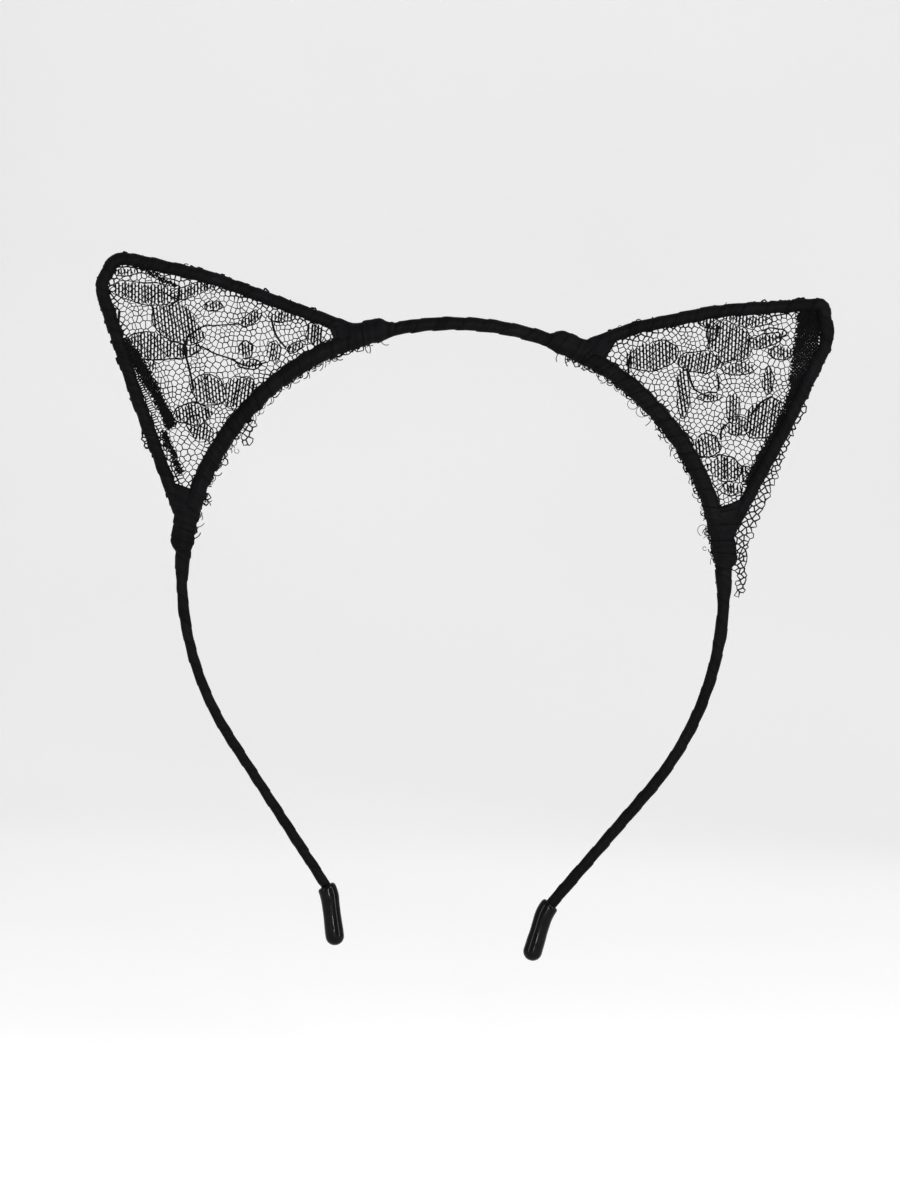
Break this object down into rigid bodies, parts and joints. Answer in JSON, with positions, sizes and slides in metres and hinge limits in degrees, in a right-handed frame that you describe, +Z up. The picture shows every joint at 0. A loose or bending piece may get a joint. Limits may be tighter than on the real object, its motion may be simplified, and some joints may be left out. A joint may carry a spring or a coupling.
{
  "type": "animal ears headband",
  "caption": "Thin wire headband bound in black satin ribbon with a pair of tilting wire-framed cat ears of black floral lace and glossy end caps.",
  "frame": {"origin": "middle of the crown's underside, where the band rests on the head", "axes": "+X to the viewer's right across the ears, +Y away from the viewer (towards the back of the head), +Z up as worn"},
  "size_m": [0.177, 0.0042, 0.1648],
  "materials": {
    "satin_ribbon": "satin",
    "lace": "matte",
    "spring_wire": "drawn",
    "end_cap": "gloss",
    "glue": "matte"
  },
  "bodies": {
    "band": {"band_wire": "spring_wire", "crown_ribbon": "satin_ribbon", "left_base_ribbon": "satin_ribbon", "left_inner_join": "satin_ribbon", "left_outer_join": "satin_ribbon", "left_inner_glue_bead": "glue", "left_outer_glue_bead": "glue", "right_base_ribbon": "satin_ribbon", "right_inner_join": "satin_ribbon", "right_outer_join": "satin_ribbon", "right_inner_glue_bead": "glue", "right_outer_glue_bead": "glue"},
    "left_leg": {"left_leg_ribbon": "satin_ribbon", "left_end_cap": "end_cap"},
    "right_leg": {"right_leg_ribbon": "satin_ribbon", "right_end_cap": "end_cap"},
    "left_ear": {"left_ear_wire": "spring_wire", "left_ear_ribbon": "satin_ribbon", "left_lace": "lace"},
    "right_ear": {"right_ear_wire": "spring_wire", "right_ear_ribbon": "satin_ribbon", "right_lace": "lace"}
  },
  "joints": [
    {"name": "left_leg_flex", "type": "hinge", "parent": "band", "child": "left_leg", "pos_m": [-0.06542, 0, -0.05738], "axis": [0, 1, 0], "range_deg": [-6, 20], "stiffness_Nm_per_rad": 0.4, "deforming": ["band_wire"]},
    {"name": "right_leg_flex", "type": "hinge", "parent": "band", "child": "right_leg", "pos_m": [0.06432, 0, -0.05501], "axis": [0, -1, 0], "range_deg": [-6, 20], "stiffness_Nm_per_rad": 0.4, "deforming": ["band_wire"]},
    {"name": "left_ear_tilt", "type": "hinge", "parent": "band", "child": "left_ear", "pos_m": [-0.03143, 0, -0.00036], "axis": [0.6452, 0, 0.764], "range_deg": [-25, 25], "deforming": ["left_ear_wire"]},
    {"name": "right_ear_tilt", "type": "hinge", "parent": "band", "child": "right_ear", "pos_m": [0.03252, 0, -0.00078], "axis": [0.6407, 0, -0.7678], "range_deg": [-25, 25], "deforming": ["right_ear_wire"]}
  ]
}
